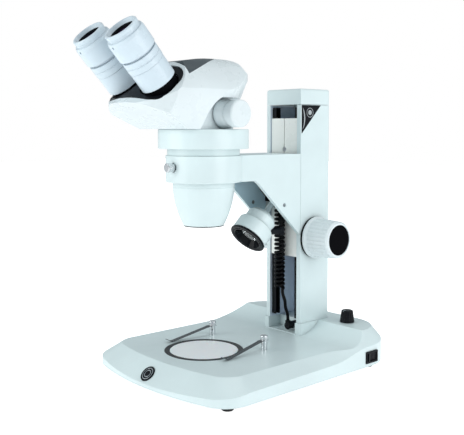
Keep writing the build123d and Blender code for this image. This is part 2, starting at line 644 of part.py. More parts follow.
def cord_clip():
    """Two black saddles inside the arm, for the top of the curly cord and for the lamp's lead."""
    saddle = block(-9, 9, 121.0, 127.9, COIL_HIGH, COIL_HIGH + 5.0)
    saddle = fillet(saddle.edges().filter_by(Axis.Z), 2.0)
    saddle = saddle + block(-9, 9, 127.0, ARM_REAR, COIL_HIGH + 3.0, COIL_HIGH + 5.0)
    upper = block(BOOT_X - 4.5, BOOT_X + 4.5, 119.0, LINER_REAR - 1.4, LEAD_TOP, LEAD_TOP + 6.0)
    return Compound([saddle, fillet(upper.edges().filter_by(Axis.Z), 2.0)])


def clamp_screw():
    """The knurled screw in front that locks the head."""
    y0 = -RING_R
    shank = cyl(2.5 - RUN, 6.6, (0, -44.95, CLAMP_Z), (0, 1, 0))
    neck = cyl(3.4, 4.2, (0, y0 - 1.5, CLAMP_Z), (0, 1, 0))
    head = cyl(5.3, 9.0, (0, y0 - 10.2, CLAMP_Z), (0, 1, 0))
    head = chamfer(head.edges().filter_by(GeomType.CIRCLE), 0.7)
    for k in range(24):
        a = 2 * pi * k / 24
        head = head - cyl(0.35, 7.6, (5.35 * cos(a), y0 - 9.5, CLAMP_Z + 5.35 * sin(a)), (0, 1, 0))
    return head + neck + shank


# ------------------------------------------------------------------ lamp

def lamp_point(x, back, up=0.0):
    """A point measured back from the middle of the bezel along the lamp's axis."""
    t = radians(LAMP_TILT)
    y, z = LAMP_FRONT
    return (x, y + cos(t) * back - sin(t) * up, z + sin(t) * back + cos(t) * up)


def lamp_back():
    t = radians(LAMP_TILT)
    return (0.0, cos(t), sin(t))


def lamp_housing():
    outer = [(0, 1.05), (LAMP_R - 0.6, 1.05), (LAMP_R, 1.8), (LAMP_R, 19.0), (LAMP_R - 1.6, 21.2),
             (19.4, 22.0), (19.4, 33.0), (16.8, 37.4), (11.0, 40.0), (0, 40.6)]
    body = turned(outer, lamp_point(0, 0), lamp_back())
    inner = [(0, -1), (20.4, -1), (20.4, 17.5), (17.0, 19.5), (17.0, 32.0), (9.0, 36.5), (0, 36.5)]
    body = body - turned(inner, lamp_point(0, 0), lamp_back())
    # the stem behind, up to the eye that hangs in the arm's fork
    y, z = LAMP_PIVOT
    eye = cyl(5.0, 8, (-4, y, z), (1, 0, 0))
    body = body + (cyl(3.9, 25.0, lamp_point(0, 38.5), lamp_back()) + eye)
    return body - cyl(2.5 + RUN, 20, (-10, y, z), (1, 0, 0))


def lamp_bezel():
    """The black front ring with a groove, and a gloss cone inside."""
    return turned([(20.3, 14.0), (20.3, 1.0), (23.8, 1.0), (24.2, 0.4), (24.2, -0.9), (23.4, -1.6),
                   (20.6, -1.6), (20.2, -0.9), (19.4, -0.9), (19.0, -1.6), (17.8, -1.4), (12.2, 6.5),
                   (12.2, 8.0), (18.4, 8.0), (18.4, 14.0)], lamp_point(0, 0), lamp_back())


def lamp_lens():
    """A clear moulded collimator in front of the LED."""
    return turned([(0, 2.6), (6.0, 3.2), (11.8, 5.6), (11.8, 7.6), (6.5, 14.5), (2.4, 14.5), (2.4, 12.5),
                   (0, 12.0)], lamp_point(0, 0), lamp_back())


def lamp_led():
    board = turned([(0, 16.0), (16.8, 16.0), (16.8, 17.4), (0, 17.4)], lamp_point(0, 0), lamp_back())
    return board + turned([(0, 14.9), (1.6, 14.6), (1.6, 16.1), (0, 16.1)], lamp_point(0, 0), lamp_back())


def lamp_boot():
    """The cable boot at the lamp's rear right, with the elbow that it ends in."""
    boot = cyl(4.6, 18.5, (BOOT_X, 96.5, 170.8), (0, 1, -0.06))
    boot = fillet(boot.edges().sort_by(Axis.Y)[-1:], 0.8)
    elbow = block(BOOT_X - 3.9, BOOT_X + 3.9, 113.0, 121.0, 164.0, 174.6)
    elbow = fillet(elbow.edges().filter_by(Axis.Z), 1.6)
    body = boot + elbow
    return body - turned([(0, -5), (LAMP_R, -5), (LAMP_R, 19.0), (LAMP_R - 1.6, 21.2), (19.4, 22.0),
                          (19.4, 33.0), (16.8, 37.4), (0, 40)], lamp_point(0, 0), lamp_back())


# ------------------------------------------------------------------ head

def head_cup():
    """The lower body with the objectives: a convex cup, the mount in the ring and the neck above it."""
    outer = [Line((22.8, CUP_LOW + 5.6), (22.8, CUP_LOW + 5.0)),
             Line((22.8, CUP_LOW + 5.0), (24.2, CUP_LOW + 1.0)),
             Line((24.2, CUP_LOW + 1.0), (25.4, CUP_LOW + 3.2)),
             ThreePointArc((25.4, CUP_LOW + 3.2), (32.6, 206.0), (36.9, 230.6)),
             Line((36.9, 230.6), (36.6, 231.2)), Line((36.6, 231.2), (36.9, 231.8)),
             Line((36.9, 231.8), (37.0, 236.2)), Line((37.0, 236.2), (MOUNT_R, 236.8)),
             Line((MOUNT_R, 236.8), (MOUNT_R, ARM_TOP + 0.1)),
             Line((MOUNT_R, ARM_TOP + 0.1), (NECK_R, ARM_TOP + 0.1)),
             Line((NECK_R, ARM_TOP + 0.1), (NECK_R, NECK_TOP)),
             Line((NECK_R, NECK_TOP), (33.5, NECK_TOP)), Line((33.5, NECK_TOP), (33.5, 232.0)),
             ThreePointArc((33.5, 232.0), (29.6, 210.0), (22.8, CUP_LOW + 5.6))]
    body = revolve(Plane.XZ * make_face(outer), Axis.Z, 360)
    web = cyl(33.8, 3.0, (0, 0, 246)) - cyl(9.8, 20, (14.85, 0, 240)) - cyl(9.8, 20, (-14.85, 0, 240))
    return body + web


def objective_bezel():
    """The black lens carrier: a ring at the bottom, threaded for an auxiliary lens, and two barrels."""
    low, floor = CUP_LOW, CUP_LOW + AUX_DEPTH + 1.4
    thread_end = CUP_LOW + AUX_DEPTH
    ring = turned([(AUX_R, low), (24.0, low), (24.0, low + 1.0), (22.6, low + 4.9), (22.6, floor + 2.5),
                   (0, floor + 2.5), (0, floor), (AUX_R + 0.5, floor), (AUX_R + 0.5, thread_end),
                   (AUX_R, thread_end)])
    made = ring
    for side in (-1, 1):
        d = channel_axis(side)
        x0 = side * 9.6
        barrel = cyl(9.2, 62, (x0 + d[0] * 2, 0, floor + d[2] * 2), d)
        made = made + barrel
    for side in (-1, 1):
        d = channel_axis(side)
        x0 = side * 9.6
        made = made - cyl(8.05, 70, (x0 + d[0] * 5, 0, floor + d[2] * 5), d)
        made = made - cyl(7.45, 20, (x0 - d[0] * 4, 0, floor - d[2] * 4), d)
    return made


AUX_R, AUX_DEPTH = 21.4, 9.0


def channel_axis(side):
    """Each light path leans outward, from the object's point below the head."""
    lean = radians(5.6)
    return (side * sin(lean), 0.0, cos(lean))


def objective_lenses():
    """The two objectives and the zoom lenses above them, each on its leaning light path."""
    made = []
    for side in (-1, 1):
        d = channel_axis(side)
        x0 = side * 9.6
        for along, r, t in ((1.0, 7.4, 5.0), (22.0, 8.0, 4.0), (40.0, 6.0, 3.0)):
            at = (x0 + d[0] * along, 0, CUP_LOW + AUX_DEPTH + 1.4 + d[2] * along)
            made.append(cyl(r, t, at, d))
    return Compound(made)


def head_collar():
    """The round turret foot between the neck and the head."""
    ring = turned([(34.5, NECK_TOP), (COLLAR_R - 0.8, NECK_TOP), (COLLAR_R, NECK_TOP + 0.8),
                   (COLLAR_R, COLLAR_TOP - 0.8), (COLLAR_R - 0.8, COLLAR_TOP), (34.5, COLLAR_TOP)])
    return ring


def shrunk(edges, inset):
    """A closed outline, moved inward by a distance."""
    face = make_face(edges)
    return face if inset == 0 else offset(face, amount=-inset, kind=Kind.INTERSECTION)


def waist(grow):
    """The two hollows in the head's flanks that the zoom knobs stand in."""
    g = grow
    edges = [Line((-43 - g, 280), (-40.5 - g, 311)),
             ThreePointArc((-40.5 - g, 311), (-34 - 0.8 * g, 325 + 0.6 * g), (-22, 334.5 + g)),
             Line((-22, 334.5 + g), (90, 334.5 + g)), Line((90, 334.5 + g), (90, 280)),
             Line((90, 280), (-43 - g, 280))]
    pocket = Pos(36 - g, 0, 0) * extrude(Plane.YZ * make_face(edges), 60, dir=(1, 0, 0))
    return pocket + mirror(pocket, Plane.YZ)


def lip_cylinder(depth):
    """The gently bent surface of the head's front lip, at a depth below it."""
    t = radians(TUBE_TILT)
    centre = tube_point(0, LIP_OUT - depth - LIP_BEND, 0)
    across = (0.0, sin(t), cos(t))
    start = tuple(c - 150 * a for c, a in zip(centre, across))
    return cyl(LIP_BEND, 300, start, across)


def hood(inset):
    """The head's domed form: a side outline, a front outline and a plan, all three intersected."""
    side = [Line((-60, COLLAR_TOP), (-140, 340.5)), Line((-140, 340.5), (-140, 372)),
            Line((-140, 372), (-62, 372.8)),
            ThreePointArc((-62, 372.8), (-18, 379.6), (25, 380)),
            ThreePointArc((25, 380), (38, 374.5), (48, 357)),
            Line((48, 357), (40, 333)), Line((40, 333), (38, COLLAR_TOP)),
            Line((38, COLLAR_TOP), (-60, COLLAR_TOP))]
    side_form = Pos(-80, 0, 0) * extrude(Plane.YZ * shrunk(side, inset), 160, dir=(1, 0, 0))
    front = [Line((-45, COLLAR_TOP), (45, COLLAR_TOP)),
             ThreePointArc((45, COLLAR_TOP), (56.5, 319), (61, 343)),
             ThreePointArc((61, 343), (43, 368), (0, 381.5)),
             ThreePointArc((0, 381.5), (-43, 368), (-61, 343)),
             ThreePointArc((-61, 343), (-56.5, 319), (-45, COLLAR_TOP))]
    front_form = Pos(0, 90, 0) * extrude(Plane.XZ * shrunk(front, inset), 240)
    plan = [ThreePointArc((-61, -10), (0, 49), (61, -10)),
            Line((61, -10), (61, -84)), ThreePointArc((61, -84), (0, -118), (-61, -84)),
            Line((-61, -84), (-61, -10))]
    plan_form = Pos(0, 0, COLLAR_TOP) * extrude(shrunk(plan, inset), 90)
    form = side_form & front_form & plan_form & lip_cylinder(inset) & rear_dome(inset)
    return form - waist(inset)


def rear_dome(inset):
    """The turned shape that rounds the head's rear; in front of its axis it leaves the head as it is."""
    rows = [(48, 290), (50, 299), (52, 320), (59.6, 337), (65.1, 351), (68.4, 357.5), (68.0, 360.6),
            (59, 372), (56.5, 375), (51, 378), (40, 380.9)]
    rows = [(r - inset, z) for r, z in rows] + [(0, 384 - inset), (0, 290)]
    return turned(rows, (0, DOME_Y, 0)) + block(-80, 80, -160, DOME_Y, 290, 400)


DOME_Y = -20.0


def face_opening(grow):
    """The rounded opening that the tubes come out of, as a solid along the tubes."""
    shape = RectangleRounded(2 * (54.2 + grow), 56 + 2 * grow, 21 + grow)
    plane = tube_plane(0, -8, 1.0)
    return plane * extrude(shape, 60)


def top_region(grow):
    """The part of the dome that the dark top panel covers, narrowing to the rear."""
    g = grow
    front, rear = -62.5 + g, 8.0 - g
    edges = [Line((-52 + g, front), (52 - g, front)),
             ThreePointArc((52 - g, front), (37 - g, -27), (13 - g, rear)),
             Line((13 - g, rear), (-13 + g, rear)),
             ThreePointArc((-13 + g, rear), (-37 + g, -27), (-52 + g, front))]
    return Pos(0, 0, 350 + grow) * extrude(make_face(edges), 60)


def head_housing():
    body = hood(0) - hood(4.0)
    floor = cyl(33, 12, (0, 0, COLLAR_TOP - 4)) & block(-40, 40, -40, 25.5, 290, 320)
    body = body - face_opening(0) - floor
    body = body - cyl(SHAFT_R + RUN, 120, (-60, 0, ZOOM_Z), (1, 0, 0))
    return body - (top_region(0) & (hood(-1.0) - hood(2.2)))


def top_panel():
    """The dark panel let into the top of the dome."""
    return (hood(0.0) - hood(2.2)) & top_region(0.25)


def face_panel():
    """The black bowed panel between the tubes, with a slot for each to swing in."""
    panel = face_opening(-0.2) & lip_cylinder(PANEL_DEPTH)
    panel = panel - lip_cylinder(PANEL_DEPTH + 2.0)
    inward, outward = 7.0, 2.0
    centre = (outward - inward) / 2
    for side in (-1, 1):
        plane = tube_plane(side * (TUBE_X + centre), -30, 0)
        panel = panel - (plane * extrude(SlotCenterToCenter(inward + outward, 2 * 19.4), 80))
    return panel


def ocular_tube(side):
    """The white lower tube of one eyepiece, with a closing flange at its root."""
    x = side * TUBE_X
    profile = [(16.0, -17.9), (18.9, -17.9), (18.9, TUBE_ROOT), (TUBE_R, TUBE_ROOT), (TUBE_R, 28.6),
               (18.4, 28.6), (18.4, 44.0), (16.0, 44.0)]
    return turned(profile, tube_point(x, 0), tube_axis())


def prism_box(side):
    """The black box behind the panel that carries one tube and its prisms."""
    x = side * TUBE_X
    x0, x1 = sorted((side * 7.0, side * 50.0))
    plane = Plane(origin=tube_point((x0 + x1) / 2, -20.4, 1.0), x_dir=(1, 0, 0), z_dir=tube_axis())
    box = plane * (Pos(0, 0, -8.8) * Box(x1 - x0, 43, 17.6))
    box = (box & hood(9.5)) + (cyl(18.9, 4.0, tube_point(x, -22.0), tube_axis()) & hood(7.0))
    box = box - cyl(15.0, 80, tube_point(x, -50), tube_axis())
    px = side * OCULAR_PIVOT_X
    box = box + cyl(7.9, 5.0, (px, 0, 331)) + block(px - 6, px + 6, -62, 0, 331, 336)
    return box - cyl(6.0 + RUN, 20, (px, 0, 325))


def ocular_pivots():
    """The bridge inside the head with the two posts that the eyepieces swing on."""
    bridge = cyl(32.6, 3.0, (0, 0, COLLAR_TOP - 0.2)) & block(-40, 40, -40, 25.0, 290, 310)
    for side in (-1, 1):
        bridge = bridge - cyl(8.6, 20, (side * 14.8, 0, 290))
        bridge = bridge - cyl(7.5, 20, (side * 10.0, -16, 290))
    for side in (-1, 1):
        x = side * OCULAR_PIVOT_X
        bridge = bridge + cyl(6.0, 38.5, (x, 0, COLLAR_TOP - 0.2))
        bridge = bridge + cyl(7.6, 3.0, (x, 0, 327.6)) + cyl(7.6, 2.0, (x, 0, 336.4))
    return bridge - cyl(SHAFT_R + RUN, 120, (-60, 0, ZOOM_Z), (1, 0, 0))


def diopter_ring(side):
    """The turning ring of one eyepiece, with a groove round its middle."""
    x = side * TUBE_X
    profile = [(18.45, 28.8), (TUBE_R + 0.2, 28.8), (TUBE_R + 0.5, 29.4), (TUBE_R + 0.5, 35.4),
               (TUBE_R, 35.9), (TUBE_R, 36.5), (TUBE_R + 0.5, 37.0), (TUBE_R + 0.5, 42.6),
               (TUBE_R + 0.2, 43.2), (18.45, 43.2)]
    return turned(profile, tube_point(x, 0), tube_axis())


def eyepiece(side):
    """The wide barrel and the eyecup rim of one eyepiece."""
    x = side * TUBE_X
    profile = [(14.6, 30.0), (15.9, 30.0), (15.9, 44.2), (19.0, 44.2), (19.0, 45.6), (21.4, 45.8),
               (22.0, 46.6), (22.0, 66.5), (21.0, 69.6), (18.9, 70.4), (18.9, 73.0), (19.3, 73.2),
               (19.3, 76.4), (18.4, 77.6), (16.9, 77.6), (14.9, 73.4), (14.6, 72.0)]
    body = turned(profile, tube_point(x, 0), tube_axis())
    t = radians(TUBE_TILT)
    out = (0.0, -sin(t), -cos(t))
    hole = tuple(a + 14.0 * b for a, b in zip(tube_point(x, 66.0), out))
    return body - cyl(1.3, 10, tuple(a + 6.6 * b for a, b in zip(hole, out)), out)


def eye_lens(side):
    x = side * TUBE_X
    lens = turned([(0, 65.0), (14.5, 65.0), (14.5, 70.0), (10.0, 71.2), (0, 72.2)],
                  tube_point(x, 0), tube_axis())
    return lens


# ------------------------------------------------------------------ zoom

def zoom_shaft():
    shaft = cyl(SHAFT_R, 2 * 52.0, (-52.0, 0, ZOOM_Z), (1, 0, 0))
    return shaft + cyl(10.0, 6.0, (-3.0, 0, ZOOM_Z), (1, 0, 0))


def zoom_knobs():
    """A knob on each side: a scale skirt, a ribbed grip and a smooth end."""
    made = []
    root = 38.2
    profile = [(0, root), (17.2, root), (17.2, root + 3.2), (15.0, root + 9.0), (13.6, root + 11.0),
               (13.6, 53.6), (15.2, 54.2), (15.6, 55.4), (15.6, ZOOM_END - 1.6), (14.4, ZOOM_END),
               (0, ZOOM_END + 0.5)]
    for side in (-1, 1):
        knob = turned(profile, (0, 0, ZOOM_Z), (side, 0, 0))
        for k in range(20):
            a = 2 * pi * k / 20
            knob = knob - cyl(0.8, 4.4, (side * 49.4, 14.0 * cos(a), ZOOM_Z + 14.0 * sin(a)), (side, 0, 0))
        made.append(knob - cyl(SHAFT_R, 52.0, (0, 0, ZOOM_Z), (side, 0, 0)))
    return Compound(made)


# ------------------------------------------------------------------ cords

PLUG_X, PLUG_Z = 6.0, 42.5
LEAD = [(5.1, COIL_Y, COIL_LOW), (5.1, COIL_Y, 83.6), (9.2, 129.0, 77.0), (7.0, 131.6, 66.5),
        (PLUG_X, 137.6, 58.4), (PLUG_X, 137.6, 49.4)]
LAMP_LEAD = [(BOOT_X, 117.4, 174.6), (BOOT_X, 117.4, 183.0), (15.2, 119.6, 195.0),
             (BOOT_X, 123.0, 209.0), (BOOT_X, 123.0, LEAD_TOP)]


def cord_radii(points):
    """As large as the two runs at each corner allow."""
    radii = []
    for a, b, c in zip(points, points[1:], points[2:]):
        u, v = Vector(*b) - Vector(*a), Vector(*c) - Vector(*b)
        turn = radians(u.get_angle(v))
        radii.append(0.45 * min(u.length, v.length) / tan(turn / 2))
    return radii


def cord_tube(points, radius, name):
    radii = cord_radii(points)
    print(name, "radii", [round(r, 1) for r in radii])
    path = FilletPolyline(*points, radius=radii)
    start = Plane(origin=path @ 0, z_dir=path % 0)
    tube = sweep(start * Circle(radius), path=path)
    print(name, "length", round(path.length, 1), "volume ratio",
          round(tube.volume / (pi * radius ** 2 * path.length), 4))
    return tube


def coil_cord():
    """The outer shape of the curly cord: one cylinder of its outer diameter."""
    return cyl(COIL_R, COIL_HIGH - COIL_LOW, (0, COIL_Y, COIL_LOW))


def cord_lead():
    return cord_tube(LEAD, CORD_R, "cord_lead")


def lamp_lead():
    return cord_tube(LAMP_LEAD, CORD_R, "lamp_lead")


def cord_plug():
    """A right-angled barrel plug in the socket at the column's foot."""
    body = cyl(5.0, 17.4, (PLUG_X, 135.2, PLUG_Z), (0, 1, 0))
    body = fillet(body.edges().sort_by(Axis.Y)[:1], 1.6)
    neck = cyl(3.4, 49.4 - PLUG_Z, (PLUG_X, 137.6, PLUG_Z))
    return body + neck + cyl(2.75, 9.0, (PLUG_X, 152.0, PLUG_Z), (0, 1, 0))


def save(name, shape):
    moved = Pos(0, -ORIGIN_Y, 0) * shape
    export_step(moved, os.path.join(OUT, name + ".step"))


def main():
    os.makedirs(OUT, exist_ok=True)
    pieces = {
        "base_housing": base_housing, "base_bottom_plate": base_bottom_plate, "base_screws": base_screws,
        "rubber_feet": rubber_feet, "stage_ring": stage_ring, "stage_plate": stage_plate,
        "circuit_boards": circuit_boards, "dc_inlet": dc_inlet, "front_badge": front_badge,
        "switch_frame": switch_frame, "switch_rocker": switch_rocker,
        "column_shell": column_shell, "column_cap": column_cap, "column_badge": column_badge,
        "guide_rails": guide_rails, "pinion_bushes": pinion_bushes, "pinion_shaft": pinion_shaft,
        "focus_knobs": focus_knobs, "focus_knob_caps": focus_knob_caps, "tension_collar": tension_collar,
        "slide_bar": slide_bar, "rack": rack, "carriage_screws": carriage_screws,
        "arm_casting": arm_casting, "arm_liner": arm_liner, "cord_clip": cord_clip,
        "clamp_screw": clamp_screw, "lamp_housing": lamp_housing, "lamp_bezel": lamp_bezel,
        "lamp_lens": lamp_lens, "lamp_led": lamp_led, "lamp_boot": lamp_boot, "lamp_lead": lamp_lead,
        "head_cup": head_cup, "objective_bezel": objective_bezel, "objective_lenses": objective_lenses,
        "head_collar": head_collar, "head_housing": head_housing,
        "top_panel": top_panel, "face_panel": face_panel, "ocular_pivots": ocular_pivots,
        "zoom_shaft": zoom_shaft, "zoom_knobs": zoom_knobs, "coil_cord": coil_cord,
        "cord_lead": cord_lead, "cord_plug": cord_plug,
    }
    for side, word in ((1, "right"), (-1, "left")):
        for name, make in (("dimmer_knob", dimmer_knob), ("stage_clip", stage_clip),
                           ("ocular_tube", ocular_tube), ("prism_box", prism_box),
                           ("diopter_ring", diopter_ring), ("eyepiece", eyepiece),
                           ("eye_lens", eye_lens)):
            pieces[name + "_" + word] = lambda make=make, side=side: make(side)
    for name, make in pieces.items():
        save(name, make())
    print(len(pieces), "pieces")


main()
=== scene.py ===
import bpy
import bmesh
import json
from math import cos, sin, pi, radians
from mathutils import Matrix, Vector


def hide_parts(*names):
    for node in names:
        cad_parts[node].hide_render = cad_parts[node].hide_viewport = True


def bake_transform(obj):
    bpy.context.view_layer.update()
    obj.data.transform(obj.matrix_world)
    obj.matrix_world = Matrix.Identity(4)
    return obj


# A stereo zoom microscope. Lengths are in metres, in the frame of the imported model: its origin is the
# middle of the footprint, the user sits on the -Y side, and +Z is up. Only at() takes millimetres.
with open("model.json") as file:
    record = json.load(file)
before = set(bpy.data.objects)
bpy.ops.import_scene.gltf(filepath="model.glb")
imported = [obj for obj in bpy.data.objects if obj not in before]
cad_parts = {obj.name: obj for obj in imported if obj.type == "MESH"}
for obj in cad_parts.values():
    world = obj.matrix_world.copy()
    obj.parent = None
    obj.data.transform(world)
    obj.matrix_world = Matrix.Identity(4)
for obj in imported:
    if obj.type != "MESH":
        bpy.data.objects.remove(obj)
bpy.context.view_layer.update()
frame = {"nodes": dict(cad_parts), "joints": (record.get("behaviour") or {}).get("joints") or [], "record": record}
nodes = frame["nodes"]
joints = {j["name"]: j for j in frame["joints"]}

# Places that the materials and the added pieces share, worked out from the frame.
OPTICAL_Y = joints["head_turn"]["pos_m"][1]
TUBE_AXIS = Vector(joints["diopter_right_turn"]["axis"]).normalized()
TUBE_RIGHT = Vector(joints["diopter_right_turn"]["pos_m"])
RING_ALONG = 0.036       # how far up its tube each diopter ring's joint lies
LAMP_TILT = radians(43.6)
LAMP_BACK = Vector((0.0, cos(LAMP_TILT), sin(LAMP_TILT)))    # the lamp shines the other way


def at(x, y, z):
    """A point in millimetres, X and Y from the optical axis and Z from the floor, in the model's frame."""
    return Vector((x / 1000, y / 1000 + OPTICAL_Y, z / 1000))


# Where the material changes within a node. Each bound lies just past the faces that it takes in.
EYECUP_BORE, EYECUP_TOP = 0.0151, 0.0772     # the inside of an eyepiece, short of its rim
TUBE_BORE, TUBE_FLANGE = 0.0163, 0.0054      # the inside and the root of an eyepiece tube
CLIP_POST_X, CLIP_POST_Y = 48, 54            # the right clip's post, for at()
CLIP_POST_R = 0.0047
DIMMER_X, DIMMER_Y = 65, 186.5               # the right dimmer knob's middle, for at()
POINTER_LOW, POINTER_HALF = 0.0649, 0.00052  # the floor and half the width of the slot in its top
CARRIER_RIM_TOP = 0.190                      # the lens carrier's dark metal rim lies below this height
BADGE_FACE = 0.03145                         # the figures on the column's label stand out past this X
# The next four bound the painted shade in the column's channel and between the arm's side plates.
CHANNEL_HALF = 0.0241                        # half the width of the column's channel
CHANNEL_BACK = at(0, 185.2, 0).y
ARM_HALF = 0.0261                            # half the width between the arm's side plates
ARM_FRONT, ARM_REAR = at(0, 50, 0).y, at(0, 129, 0).y
RING_GROOVES = ((0.00378, 0.00462), (0.00658, 0.00742))  # inner and outer radius, on the front badge
HEAD_SHARP = 18                              # edges that turn by more degrees than this stay sharp


# ------------------------------------------------------------------ camera

def make_camera():
    data = bpy.data.cameras.new("photo_camera")
    data.sensor_width = 36.0
    data.lens = 61.47
    data.shift_y = -0.0989
    data.clip_start = 0.05
    data.clip_end = 60.0
    camera = bpy.data.objects.new("photo_camera", data)
    camera.location = at(724.0, -597.7, 297.85)
    camera.rotation_euler = (radians(87.0), 0.0, radians(48.4))
    bpy.context.scene.collection.objects.link(camera)
    bpy.context.scene.camera = camera


# ------------------------------------------------------------------ materials

MIX_A, MIX_B, MIX_RESULT = 6, 7, 2     # the colour sockets of a mix node


class Nodes:
    """A few shorthands for building one material's node tree."""

    def __init__(self, name):
        self.material = bpy.data.materials.new(name)
        self.material.use_nodes = True
        self.tree = self.material.node_tree
        self.shader = self.tree.nodes["Principled BSDF"]
        self.place = self.add("ShaderNodeTexCoord").outputs["Object"]

    def add(self, kind, **values):
        node = self.tree.nodes.new(kind)
        for key, value in values.items():
            setattr(node, key, value)
        return node

    def link(self, a, b):
        self.tree.links.new(a, b)

    def noise(self, scale, detail=3.0):
        node = self.add("ShaderNodeTexNoise")
        node.inputs["Scale"].default_value = scale
        node.inputs["Detail"].default_value = detail
        node.inputs["Roughness"].default_value = 0.55
        self.link(self.place, node.inputs["Vector"])
        return node.outputs["Fac"]

    def span(self, value, low, high, start=0.3, stop=0.7):
        """The value's stretch from start to stop, mapped to low to high."""
        node = self.add("ShaderNodeMapRange")
        node.inputs["From Min"].default_value = start
        node.inputs["From Max"].default_value = stop
        node.inputs["To Min"].default_value = low
        node.inputs["To Max"].default_value = high
        self.link(value, node.inputs["Value"])
        return node.outputs["Result"]

    def mix(self, factor, a, b):
        node = self.add("ShaderNodeMix", data_type="RGBA")
        for index, value in ((MIX_A, a), (MIX_B, b)):
            if isinstance(value, bpy.types.NodeSocket):
                self.link(value, node.inputs[index])
            else:
                node.inputs[index].default_value = (*value, 1.0)
        self.link(factor, node.inputs[0])
        return node.outputs[MIX_RESULT]

    def bump(self, height, strength, distance, edge=0.0):
        """A bump, on top of softly rounded edges where an edge radius is given."""
        node = self.add("ShaderNodeBump")
        node.inputs["Strength"].default_value = strength
        node.inputs["Distance"].default_value = distance
        self.link(height, node.inputs["Height"])
        if edge:
            soft = self.add("ShaderNodeBevel", samples=4)
            soft.inputs["Radius"].default_value = edge
            self.link(soft.outputs["Normal"], node.inputs["Normal"])
        self.link(node.outputs["Normal"], self.shader.inputs["Normal"])

    def fixed(self, **values):
        """Plain values for the shader's inputs, with _ for each space in a name."""
        for key, value in values.items():
            self.shader.inputs[key.replace("_", " ")].default_value = value


def painted(name, color, rough, grain, depth, edge, coat, shine):
    """Powder coat, moulded plastic or rubber: a fine grain, random patches of tone and gloss, and painted shade
    that darkens creases and corners.
    """
    n = Nodes(name)
    patches = n.noise(14.0, 4.0)
    fine = n.noise(grain, 2.0)
    deep = tuple(c * 0.93 for c in color)
    body = n.mix(n.span(patches, 0.0, 1.0), color, deep)
    # painted shade: the colour darkens towards 0.82 of itself where ambient occlusion finds a crease, corner or
    # gap
    crease_shade = n.add("ShaderNodeAmbientOcclusion", samples=4)
    crease_shade.inputs["Distance"].default_value = 0.006
    shade = n.span(crease_shade.outputs["AO"], 1.0, 0.0, 0.35, 0.95)
    n.link(n.mix(shade, body, tuple(c * 0.82 for c in color)), n.shader.inputs["Base Color"])
    n.link(n.span(n.noise(60.0, 5.0), rough - 0.05, rough + 0.07), n.shader.inputs["Roughness"])
    n.bump(fine, 0.12, depth, edge)
    n.fixed(Coat_Weight=coat, Coat_Roughness=0.18, IOR=1.48, Specular_IOR_Level=shine)
    return n.material


def machined(name, color, rough, axis, edge):
    """Bare metal, or a metallic ink, with fine marks that run across an axis."""
    n = Nodes(name)
    mapping = n.add("ShaderNodeMapping")
    mapping.inputs["Scale"].default_value = {"X": (60, 1, 1), "Z": (1, 1, 60)}[axis]
    n.link(n.place, mapping.inputs["Vector"])
    marks = n.add("ShaderNodeTexNoise")
    marks.inputs["Scale"].default_value = 90.0
    marks.inputs["Detail"].default_value = 4.0
    n.link(mapping.outputs["Vector"], marks.inputs["Vector"])
    lines = marks.outputs["Fac"]
    dull = tuple(c * 0.8 for c in color)
    n.link(n.mix(n.span(lines, 0.0, 1.0), color, dull), n.shader.inputs["Base Color"])
    n.link(n.span(lines, rough - 0.06, rough + 0.1), n.shader.inputs["Roughness"])
    n.bump(lines, 0.12, 0.00003, edge)
    n.fixed(Metallic=1.0)
    return n.material


def clear(name):
    """Clear plastic with faint dust."""
    n = Nodes(name)
    dust = n.noise(700.0, 5.0)
    n.link(n.span(dust, 0.02, 0.1, 0.45, 0.8), n.shader.inputs["Roughness"])
    n.link(n.mix(n.span(dust, 0.0, 0.06), (0.95, 0.97, 0.97), (0.9, 0.9, 0.9)),
           n.shader.inputs["Base Color"])
    n.fixed(Transmission_Weight=0.9, IOR=1.5)
    return n.material


def coated_lens(name):
    """A dark lens seen from outside, with the purple sheen of its coating and faint dust."""
    n = Nodes(name)
    facing = n.add("ShaderNodeLayerWeight")
    facing.inputs["Blend"].default_value = 0.35
    tint = n.mix(facing.outputs["Facing"], (0.012, 0.02, 0.035), (0.10, 0.05, 0.14))
    dust = n.noise(900.0, 4.0)
    n.link(n.mix(n.span(dust, 0.0, 0.08, 0.6, 0.9), tint, (0.4, 0.42, 0.45)),
           n.shader.inputs["Base Color"])
    n.link(n.span(dust, 0.03, 0.12), n.shader.inputs["Roughness"])
    n.fixed(IOR=1.6, Coat_Weight=1.0, Coat_Roughness=0.02)
    return n.material


def frosted_plate(name):
    """The milky stage plate: a very fine ground surface with faint clouds."""
    n = Nodes(name)
    ground = n.noise(5200.0, 2.0)
    cloud = n.noise(30.0, 3.0)
    n.link(n.mix(n.span(cloud, 0.0, 1.0), (0.93, 0.96, 0.97), (0.96, 0.98, 0.99)),
           n.shader.inputs["Base Color"])
    n.link(n.span(ground, 0.32, 0.5), n.shader.inputs["Roughness"])
    n.bump(ground, 0.25, 0.00002)
    n.fixed(Coat_Weight=0.35, Coat_Roughness=0.12, Subsurface_Weight=0.1, Subsurface_Scale=0.002)
    return n.material


def circuit_board(name):
    """Green board with a pattern of lighter lines."""
    n = Nodes(name)
    bricks = n.add("ShaderNodeTexBrick")
    bricks.inputs["Scale"].default_value = 160.0
    bricks.inputs["Mortar Size"].default_value = 0.03
    bricks.inputs["Color1"].default_value = (0.02, 0.11, 0.05, 1.0)
    bricks.inputs["Color2"].default_value = (0.025, 0.13, 0.06, 1.0)
    bricks.inputs["Mortar"].default_value = (0.06, 0.24, 0.10, 1.0)
    n.link(n.place, bricks.inputs["Vector"])
    n.link(bricks.outputs["Color"], n.shader.inputs["Base Color"])
    n.link(n.span(n.noise(80.0), 0.25, 0.4), n.shader.inputs["Roughness"])
    return n.material


